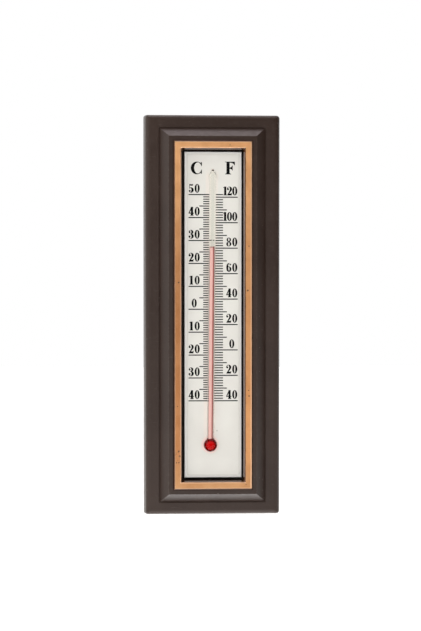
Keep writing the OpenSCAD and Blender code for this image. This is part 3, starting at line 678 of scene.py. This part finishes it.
def foil_material():
    """Copper-coloured hot foil over brown plastic, rubbed through along its edges and in specks, with
    painted shade and a painted sheen in its tone and painted highlights along its edges.
    """
    s = Shader("foil")
    level = s.times(s.axis(1), -1.0)
    fine = s.noise(2.2, 4, 0.65)
    waver = s.times(s.noise(0.35, 4, 0.7), 0.3)
    outer = s.less(s.inset(*FOIL_OUTER), waver)
    inner = s.math("ADD", s.inset(*FOIL_INNER), waver)
    inset = s.inset()
    copper = s.between(s.noise(0.12), COPPERS)
    # Painted light: the copper is shaded to the left and at its foot, and given a painted sheen at its top
    # end
    painted_light = s.between(s.axis(0), PAINTED_SHADE_ACROSS, *SHADE_ACROSS_RANGE)
    painted_light = s.painted(painted_light, PAINTED_TOP_SHEEN, s.step(s.axis(2), *SHEEN_TOP_RANGE))
    painted_light = s.painted(painted_light, PAINTED_FOOT_SHADE, s.below(s.axis(2), *SHADE_FOOT_RANGE))
    copper = s.mix(1.0, copper, painted_light, "MULTIPLY")
    lengthwise = s.node("ShaderNodeCombineXYZ", {0: outer, 1: s.noise(0.03, 2)}).outputs[0]
    streaks = s.step(s.noise(1.0, 3, 0.6, lengthwise), 0.5, 0.64)
    copper = s.painted(copper, COPPER_STREAK, streaks, 0.5)
    # Painted highlights along the outer and inner edges of the foil
    edge_highlights = s.larger(s.below(inset, *OUTER_HIGHLIGHT), s.step(inset, *INNER_HIGHLIGHT))
    copper = s.painted(copper, PAINTED_COPPER_HIGHLIGHT, edge_highlights, 0.6)
    ragged = s.math("ADD", level, s.times(s.noise(1.6, 4, 0.7), -0.35))
    foiled = s.times(s.step(ragged, *FOIL_LEVELS), s.step(outer, *FOIL_BEGINS))
    foiled = s.times(foiled, s.below(inner, *FOIL_ENDS))
    rubbed = s.specks(0.62, 0.2, 0.16)
    for chip in FOIL_CHIPS:
        rubbed = s.larger(rubbed, s.round_spot(*chip, CHIP_SOFTNESS))
    patch = s.times(s.specks(1.6, 0.34, 0.5), s.round_spot(*FOIL_PATCH))
    rubbed = s.larger(rubbed, patch)
    foiled = s.times(foiled, s.less(1.0, rubbed))
    colour = s.mix(foiled, s.between(fine, BARE_BROWNS, 0.4, 0.6), copper)
    rough = s.math("ADD", s.step(fine, 0.35, 0.65, 0.42, 0.54), s.times(rubbed, 0.1), True)
    wall = s.times(s.less(1.0, foiled), s.step(inset, *TRIM_WALL))
    bumps = s.bump(s.times(s.noise(0.8), foiled), 0.012)
    return s.finish({
        "Base Color": colour, "Metallic": foiled, "Roughness": s.polished(rough, wall),
        "Normal": bumps, "IOR": PLASTIC_IOR
    })


def cover_material():
    """The same brown plastic at the back, matt, with a coarse spark-eroded grain."""
    s = Shader("cover_plastic")
    grain = s.noise(3.2, 4, 0.6)
    scuffs = s.scratches((0.2, 1.0, 4.0), 60, 0.64, 0.71)
    lines = s.times(scuffs, s.step(s.noise(0.09, 2), 0.48, 0.6))
    colour = s.painted(s.between(s.noise(0.06), COVER_BROWNS), COVER_SCUFF, lines, 0.5)
    rough = s.step(grain, 0.3, 0.7, 0.52, 0.66)
    bumps = s.bump(grain, 0.03)
    return s.finish({"Base Color": colour, "Roughness": rough, "Normal": bumps, "IOR": PLASTIC_IOR})


def plate_material():
    """White plastic with a few specks, a painted highlight on its bevel, a painted shade line inside the
    bevel, and a painted pinkish glow round the bulb and along the tube, where it also stands for a
    yellowing.
    """
    s = Shader("plate_white")
    inset = s.to_side(*PLATE_MIDDLE, *PLATE_HALF)
    colour = s.between(s.noise(0.045, 4, 0.6), PLATE_WHITES)
    # Painted highlight on the bevel round the plate's edge
    colour = s.painted(colour, PAINTED_BEVEL_HIGHLIGHT, s.below(inset, *BEVEL_HIGHLIGHT_INSETS))
    # Painted shade in a broken line just inside the bevel
    shade_line_band = s.times(s.step(inset, *SHADE_LINE_BEGINS), s.below(inset, *SHADE_LINE_ENDS))
    shade_line = s.times(shade_line_band, s.step(s.noise(0.25, 4, 0.7), 0.3, 0.65, 0.2, 0.55))
    colour = s.painted(colour, PAINTED_SHADE_GREY, shade_line)
    across, along = s.by_tube()
    # Painted pinkish glow of light through the spirit along the tube, which also stands for a yellowing
    glow_and_yellowing = s.times(s.step(across, *BAND_LEFT), s.below(across, *BAND_RIGHT))
    glow_and_yellowing = s.times(glow_and_yellowing, s.below(along, *BAND_TOP))
    glow_and_yellowing = s.times(glow_and_yellowing, s.step(along, *BAND_FOOT))
    colour = s.painted(colour, PAINTED_GLOW_AND_YELLOWING, glow_and_yellowing, 0.5)
    # Painted pink glow of light from the red bulb onto the plate round it
    colour = s.painted(colour, PAINTED_GLOW_PINK, s.round_spot(*PAINTED_BULB_GLOW), 0.62)
    colour = s.painted(colour, SPECK_BROWN, s.specks(0.16, 0.05, 0.35), 0.45)
    colour = s.painted(colour, MARK_GREY, s.round_spot(*PLATE_MARK), 0.6)
    rough = s.step(s.noise(0.3), 0.35, 0.65, 0.30, 0.42)
    bumps = s.bump(s.noise(0.35), 0.012, s.bump(s.noise(6, 2), 0.002))
    return s.finish({"Base Color": colour, "Roughness": rough, "Normal": bumps, "IOR": PLATE_IOR})


def ink_material():
    """Black screen-printing ink, uneven in gloss, with a few pinholes."""
    s = Shader("printed_ink")
    patches = s.noise(0.7, 4, 0.6)
    colour = s.between(patches, INK_BLACKS, 0.35, 0.7)
    colour = s.painted(colour, INK_HOLE, s.specks(2.0, 0.16, 0.2), 0.4)
    rough = s.step(patches, 0.3, 0.7, 0.5, 0.65)
    return s.finish({
        "Base Color": colour, "Roughness": rough, "Normal": s.bump(s.noise(5), 0.006),
        "Specular IOR Level": INK_MIRROR
    })


def glass_material():
    """Clear drawn glass that lets light through to what lies under it."""
    s = Shader("drawn_glass")
    streaks = s.drawn_streaks()
    surface = s.surface({
        "Base Color": s.between(streaks, GLASS_TINTS, 0.3, 0.7), "Roughness": 0.0, "IOR": GLASS_IOR,
        "Transmission Weight": 1.0, "Normal": s.bump(streaks, 0.004), "Specular Tint": GLASS_MIRROR_TINT
    })
    clear = s.node("ShaderNodeBsdfTransparent", {"Color": GLASS_CLEAR_TINT}).outputs[0]
    path = s.node("ShaderNodeLightPath").outputs
    passing = s.larger(path["Is Shadow Ray"], path["Is Diffuse Ray"])
    return s.show(s.node("ShaderNodeMixShader", {0: passing, 1: surface, 2: clear}).outputs[0])


def bore_material():
    """The wall of the empty bore, which the glass round it hardly shows."""
    s = Shader("bore_wall")
    colour = s.between(s.drawn_streaks(), BORE_TINTS, 0.3, 0.7)
    return s.show(s.node("ShaderNodeBsdfTransparent", {"Color": colour}).outputs[0])


def bulb_red_material():
    """Red dyed spirit in the bulb, with painted shade in a darker rim towards the plate."""
    s = Shader("bulb_red")
    colour = s.between(s.noise(0.35, 2), BULB_REDS)
    # Painted shade: the spirit darkens towards the plate, where the bulb lies in shade
    colour = s.painted(colour, PAINTED_BULB_SHADE, s.step(s.axis(1), *BULB_SHADE_RANGE))
    return s.finish({
        "Base Color": colour, "Roughness": 0.12, "IOR": SPIRIT_IOR, "Specular IOR Level": SPIRIT_MIRROR
    })


def thread_red_material():
    """Spirit in the bore: thin, painted pink where lit on its left and dark red as painted shade along its
    right side.
    """
    s = Shader("thread_red")
    across = s.by_tube()[0]
    waver = s.times(s.less(s.noise(0.03, 2), 0.5), 0.2)
    # Painted light and shade: pink on the thread's left side, dark red painted shade on its right
    colour = s.between(s.math("ADD", across, waver), THREAD_LIT_AND_SHADED_REDS, *THREAD_SHADE_BEGINS)
    return s.finish({
        "Base Color": colour, "Roughness": 0.2, "IOR": SPIRIT_IOR, "Specular IOR Level": SPIRIT_MIRROR
    })


def cement_material():
    """Cement as pale as the plate, browned at its point and at its two feet."""
    s = Shader("yellowed_cement")
    clouds = s.noise(0.9)
    browned = s.round_spot(*CEMENT_MARKS[0])
    for mark in CEMENT_MARKS[1:]:
        browned = s.larger(browned, s.round_spot(*mark))
    colour = s.painted(s.between(clouds, CEMENT_WHITES), CEMENT_BROWN, browned, 0.45)
    return s.finish({"Base Color": colour, "Roughness": 0.3, "Normal": s.bump(clouds, 0.03)})


def foam_material():
    """Dark foam tape with open cells at its cut sides."""
    s = Shader("foam_tape")
    distance = s.cells(2.6)[0]
    colour = s.between(distance, FOAM_BLACKS, 0.1, 0.6)
    return s.finish({"Base Color": colour, "Roughness": 0.85, "Normal": s.bump(distance, 0.12)})


def zinc_material():
    """Zinc-plated steel with a faint yellow tint and turning marks."""
    s = Shader("zinc_plate")
    marks = s.noise(1.0, 3, 0.5, s.stretched((0.5, 9.0, 0.5)))
    return s.finish({
        "Base Color": s.between(s.noise(0.6), ZINC_GREYS), "Metallic": 1.0,
        "Roughness": s.step(marks, 0.3, 0.7, 0.24, 0.40), "Normal": s.bump(marks, 0.006)
    })


def build_case():
    """The moulded case: side, border, groove, bevel, flat, seat and window, with its screw bosses."""
    wall_top = (SIDE_DRAFT, SIDE_LEVEL)
    border = bend(wall_top, EDGE_PULL, (EDGE_W, BORDER_LEVEL), BORDER_STEPS)
    rounding = bend(ROUND_START, wall_top, border[ROUND_JOINS], ROUND_STEPS)
    corners = [CASE_FOOT]
    corners += [(x, y, 0, EDGE_WEAR * hump(i / ROUND_STEPS)) for i, (x, y) in enumerate(rounding)]
    corners += [(x, y, 0, 0.0) for x, y in border[ROUND_JOINS + 1:]]
    vertices, faces, wear_and_shade = frame_mesh(filleted(corners + CASE_SECTION))
    parts = [(vertices, faces)]
    turned, turned_faces = lathe_mesh(BOSS_SECTION, THIN_LATHE_STEPS)
    for sz in (1, -1):
        for sx in (-1, 1):
            x = sx * (CASE_W / 2 - SCREW_INSET)
            z = sz * (CASE_L / 2 - SCREW_INSET)
            parts.append(([(x + a, -c, z + b) for a, b, c in turned], turned_faces))
    vertices, faces = join_meshes(parts)
    wear_and_shade += [0.0] * (len(vertices) - len(wear_and_shade))
    made = piece("case_moulding", vertices, faces, ["front_case"], wear_and_shade)
    weigh_normals(made)
    return made


def build_trim():
    """The foiled frame round the window."""
    corners = [(inset, level, fillet, 0.0) for inset, level, fillet in TRIM_SECTION]
    vertices, faces = frame_mesh(filleted(corners))[:2]
    made = piece("trim_foil_frame", vertices, faces, ["trim_frame"])
    weigh_normals(made)
    return made


def along_tube():
    """From the tube's own axis, with the bulb's middle at zero, to the part."""
    middle = Vector(BULB_PLACE) * MM
    return Matrix.Translation(middle) @ Matrix.Rotation(TUBE_LEAN, 4, "Y")


def hollow(wider=0.0):
    """Half section of the hollow of the bulb, up to the capillary."""
    bowl = arc((0, 0), CAVITY_R + wider, -90, HOLLOW_ANGLE, HOLLOW_STEPS)
    return bowl + [(BORE_R + wider, HOLLOW_TOP)]


def build_glass():
    """Bulb, neck, stem and pointed tip of glass, hollow inside."""
    tip = STEM_L + TIP_L
    neck_angle = math.degrees(math.atan2(NECK_TOP, STEM_R + NECK_R))
    outside = arc((0, 0), BULB_R, -90, neck_angle, BULB_STEPS)
    outside += arc((STEM_R + NECK_R, NECK_TOP), NECK_R, neck_angle + 180, 180, NECK_STEPS)[1:]
    outside += bend((STEM_R, STEM_L), (STEM_R, STEM_L + TIP_L / 2), (0, tip), TIP_STEPS)
    inside = hollow() + [(BORE_R, BORE_STRAIGHT_END)]
    inside += arc((0, BORE_ROUND_MIDDLE), BORE_R, 0, 90, BORE_END_STEPS)[1:-1]
    inside += [(0, BORE_END)]
    outer = lathe_mesh(outside)
    vertices, faces = join_meshes([outer, lathe_mesh(inside)])
    inner_from = len(outer[1])
    made = piece("thermometer_tube", vertices, faces, ["glass_tube"], place=along_tube())
    mesh = made.data
    mesh.materials.append(glass_material())
    mesh.materials.append(bore_material())
    for face in mesh.polygons[inner_from:]:
        if face.center.z > (BULB_PLACE[2] + BORE_WALL_FROM) * MM:
            face.material_index = 1
    work = bmesh.new()
    work.from_mesh(mesh)
    work.faces.ensure_lookup_table()
    bmesh.ops.reverse_faces(work, faces=work.faces[inner_from:])
    work.to_mesh(mesh)
    work.free()
    return made


def build_spirit():
    """Spirit in the bulb, which wets the glass, and the thread with its dished end."""
    vertices, faces = lathe_mesh(hollow(SPIRIT_WETS) + [(0, HOLLOW_TOP)])
    nodes = ["spirit_reservoir"]
    reservoir = piece("bulb_spirit", vertices, faces, nodes, place=along_tube())
    radius = BORE_R + SPIRIT_WETS
    dish = DISH_SHARE * radius
    section = [(0, THREAD_FOOT), (radius, THREAD_FOOT), (radius, FUNNEL_TOP)]
    section += [(radius, SPIRIT_LEVEL - MENISCUS_L), (radius, SPIRIT_LEVEL)]
    for i in range(1, DISH_STEPS):
        angle = i * math.pi / (2 * DISH_STEPS)
        section.append((radius * math.cos(angle), SPIRIT_LEVEL - dish * math.sin(angle)))
    section.append((0, SPIRIT_LEVEL - dish))
    vertices, faces = lathe_mesh(section, THIN_LATHE_STEPS)
    vertices = [(x * THREAD_WIDER, y * THREAD_FLATTER, z) for x, y, z in vertices]
    nodes = ["spirit_column", "spirit_meniscus"]
    thread = piece("spirit_thread", vertices, faces, nodes, place=along_tube())
    return reservoir, thread


def use(made, material):
    """The object in one material."""
    made.data.materials.clear()
    made.data.materials.append(material)
    return made


def dress(node, material, width=0.0, angle=EDGE_ANGLE):
    """A CAD node in its own material, with its edges softened by modifiers."""
    made = use(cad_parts[node], material)
    if width:
        weld = made.modifiers.new("weld", "WELD")
        weld.merge_threshold = WELD_REACH * MM
        bevel = made.modifiers.new("bevel", "BEVEL")
        bevel.width = width * MM
        bevel.segments = EDGE_SEGMENTS
        bevel.limit_method = "ANGLE"
        bevel.angle_limit = math.radians(angle)
        bevel.use_clamp_overlap = True
        weigh_normals(made)


def build_world():
    """A pale world, brighter at the left and above, and white where it is seen itself."""
    world = bpy.data.worlds.new("studio")
    bpy.context.scene.world = world
    world.use_nodes = True
    w = Nodes(world.node_tree)
    direction = w.node("ShaderNodeTexCoord").outputs["Generated"]
    x, y, z = w.node("ShaderNodeSeparateXYZ", {0: direction}).outputs
    added = w.math("ADD", w.step(x, *WORLD_LEFT), w.step(z, *WORLD_ABOVE))
    inputs = {"Color": WORLD_COLOUR, "Strength": w.math("ADD", added, WORLD_LEAST)}
    soft = w.node("ShaderNodeBackground", inputs).outputs[0]
    white = w.node("ShaderNodeBackground", {"Color": WHITE}).outputs[0]
    path, seen = w.background_rays()
    mirrored = w.times(path["Is Glossy Ray"], w.step(y, *WORLD_BEHIND))
    mixed = w.node("ShaderNodeMixShader", {0: w.larger(seen, mirrored), 1: soft, 2: white})
    w.node("ShaderNodeOutputWorld", {"Surface": mixed.outputs[0]})


def aimed(place, aim):
    """How a lamp or a camera at that place is turned to look at its aim."""
    return (Vector(aim) - Vector(place)).to_track_quat("-Z", "Y").to_euler()


def lamp(name, place, aim, size, watts):
    """A soft square lamp that the camera doesn't see."""
    light = bpy.data.lights.new(name, "AREA")
    light.shape = "SQUARE"
    light.size = size
    light.energy = watts
    made = add(name, light)
    made.location = place
    made.rotation_euler = aimed(place, aim)
    made.visible_camera = False
    made.visible_transmission = False
    return made


def build_lamps():
    """A large lamp in front, one above, one below, and a strip below in front that gives only gloss."""
    key = lamp("key_lamp", *KEY_LAMP)
    key.visible_glossy = False
    top = lamp("top_lamp", *TOP_LAMP)
    top.data.color = TOP_LAMP_COLOUR
    lamp("floor_lamp", *FLOOR_LAMP)
    table = lamp("table_lamp", *TABLE_LAMP)
    table.data.shape = "RECTANGLE"
    table.data.size_y = TABLE_LAMP_DEPTH
    table.visible_diffuse = False


def build_floor():
    """Pale floor well below the part, which hangs on a wall in use; it shows the part's shadow."""
    mesh = bpy.data.meshes.new("floor")
    sides = ((-1, -1), (1, -1), (1, 1), (-1, 1))
    corners = [(x * FLOOR_HALF, y * FLOOR_HALF, FLOOR_HEIGHT) for x, y in sides]
    mesh.from_pydata(corners, [], [(0, 1, 2, 3)])
    floor = add("floor", mesh)
    s = Shader("pale_floor")
    colour = s.mix(s.noise(0.004), *FLOOR_WHITES)
    diffuse = s.node("ShaderNodeBsdfDiffuse", {"Color": colour}).outputs[0]
    path, seen = s.background_rays()
    shown = s.larger(seen, path["Is Glossy Ray"])
    lift = s.node("ShaderNodeEmission", {"Strength": s.times(shown, FLOOR_LIFT)}).outputs[0]
    mesh.materials.append(s.show(s.node("ShaderNodeAddShader", {0: diffuse, 1: lift}).outputs[0]))


def build_camera():
    """The photograph's view: a little from the left and from above, 0.62 m away."""
    camera = add("camera", bpy.data.cameras.new("camera"))
    camera.data.sensor_width = CAMERA_SENSOR
    camera.data.lens = CAMERA_LENS
    camera.data.clip_start = CAMERA_NEAR
    camera.location = CAMERA_PLACE
    camera.rotation_euler = aimed(CAMERA_PLACE, CAMERA_AIM)
    bpy.context.scene.camera = camera


# Pieces on the root body
case = use(build_case(), moulding_material())
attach(case, "root")
trim = use(build_trim(), foil_material())
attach(trim, "root")
glass = build_glass()
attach(glass, "root")
reservoir, thread = build_spirit()
use(reservoir, bulb_red_material())
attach(reservoir, "root")

# The thread, with its placing baked into its mesh and on no body
use(thread, thread_red_material())
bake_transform(thread)

# CAD nodes that stay, in their own finish
dress("back_cover", cover_material(), COVER_EDGE)
zinc = zinc_material()
for number in range(1, 5):
    dress("cover_screw_" + str(number), zinc, SCREW_EDGE)
foam = foam_material()
for name in ("plate_pad_upper", "plate_pad_lower"):
    dress(name, foam, PAD_EDGE)
dress("scale_plate", plate_material(), PLATE_EDGE, PLATE_EDGE_ANGLE)
ink = ink_material()
for name in ("graduations", "numerals", "letter"):
    dress("celsius_" + name, ink)
    dress("fahrenheit_" + name, ink)
dress("calibration_mark", ink)
cement = cement_material()
dress("tip_cement", cement, TIP_CEMENT_EDGE)
dress("bulb_cement", cement, BULB_CEMENT_EDGE)

# Soft studio light, a pale floor and the photograph's view
build_world()
build_floor()
build_camera()
build_lamps()
bpy.context.scene.view_settings.view_transform = "Standard"
